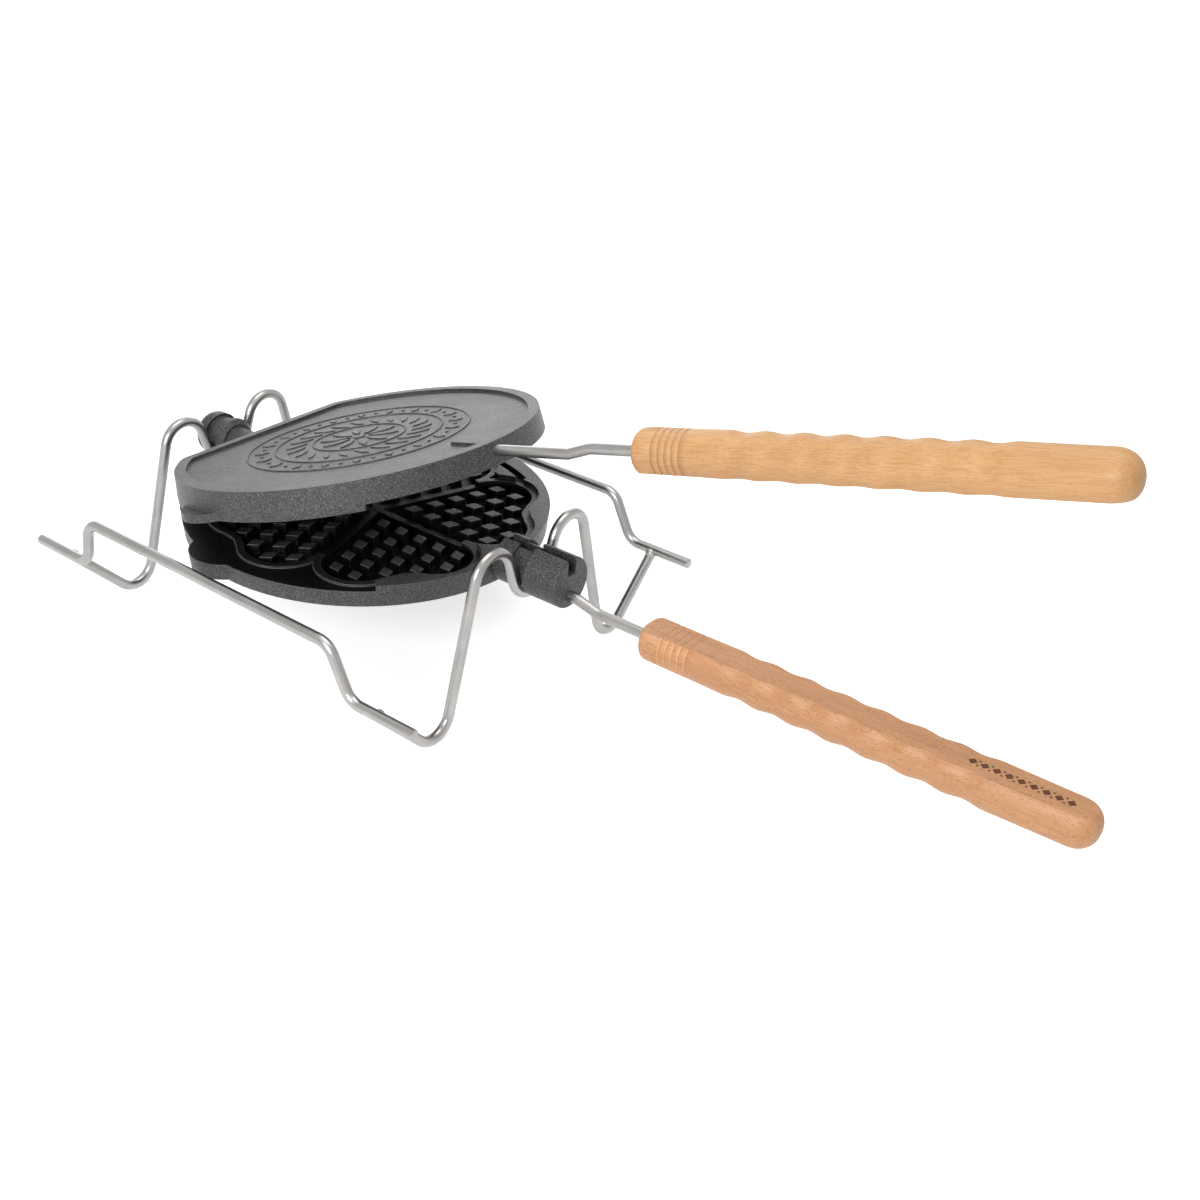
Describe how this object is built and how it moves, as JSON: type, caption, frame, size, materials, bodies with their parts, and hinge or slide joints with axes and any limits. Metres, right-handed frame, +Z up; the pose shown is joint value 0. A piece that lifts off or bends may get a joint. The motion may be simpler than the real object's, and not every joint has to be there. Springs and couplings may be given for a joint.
{
  "type": "rotating waffle iron",
  "caption": "Hinged round cast iron waffle iron with heart pattern and beech grips, turning in a bent wire stand.",
  "frame": {"origin": "on the table, under the middle of the wire stand and the turning axis", "axes": "+X along the handles towards the grips, +Z up, +Y to the far side"},
  "size_m": [0.5885, 0.243, 0.2343],
  "materials": {
    "cast_iron": "sand cast, dark grey, seasoned",
    "stainless_wire": "brushed drawn wire",
    "weld_steel": "rough spot weld",
    "pin_steel": "turned steel",
    "beech": "turned beech, oiled"
  },
  "bodies": {
    "stand": {"near_rail": "stainless_wire", "far_rail": "stainless_wire", "front_bracket": "stainless_wire", "back_bracket": "stainless_wire", "weld_beads": "weld_steel"},
    "lower_half": {"lower_plate": "cast_iron", "lower_handle_rod": "stainless_wire", "lower_grip": "beech", "hinge_pins": "pin_steel"},
    "upper_half": {"upper_plate": "cast_iron", "upper_handle_rod": "stainless_wire", "upper_grip": "beech"}
  },
  "joints": [
    {"name": "turn", "type": "hinge", "parent": "stand", "child": "lower_half", "pos_m": [0, 0, 0.0755], "axis": [1, 0, 0], "range_deg": [-15, 15]},
    {"name": "lid", "type": "hinge", "parent": "lower_half", "child": "upper_half", "pos_m": [-0.09575, 0, 0.0755], "axis": [0, -1, 0], "range_deg": [-15, 70]}
  ]
}
